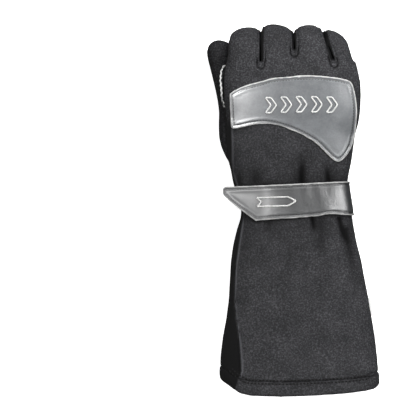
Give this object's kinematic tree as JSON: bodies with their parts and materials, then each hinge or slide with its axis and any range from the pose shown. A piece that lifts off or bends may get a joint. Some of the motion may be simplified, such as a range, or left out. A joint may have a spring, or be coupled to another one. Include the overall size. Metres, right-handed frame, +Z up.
{
  "type": "racing glove",
  "caption": "Hollow right-hand drag racing glove with long flared gauntlet, leather knuckle patch and wrist strap, lying palm down with curled fingers.",
  "frame": {"origin": "middle of the bounding box across and along, on the surface that the glove lies on", "axes": "+X towards the little-finger side, +Y towards the finger bends, +Z up through the back of the hand"},
  "size_m": [0.187, 0.3718, 0.0616],
  "materials": {
    "knit": "matte padded flame-resistant knit",
    "leather": "smooth semi-gloss leather",
    "label": "smooth woven tape"
  },
  "bodies": {
    "root": {"back_panel": "knit", "palm_panel": "knit", "fourchette_index_middle": "knit", "fourchette_middle_ring": "knit", "fourchette_ring_little": "knit", "thumb_panel": "knit", "cuff_hem": "knit", "knuckle_patch": "leather", "wrist_strap": "leather", "palm_leather": "leather", "side_label": "label"}
  },
  "joints": []
}
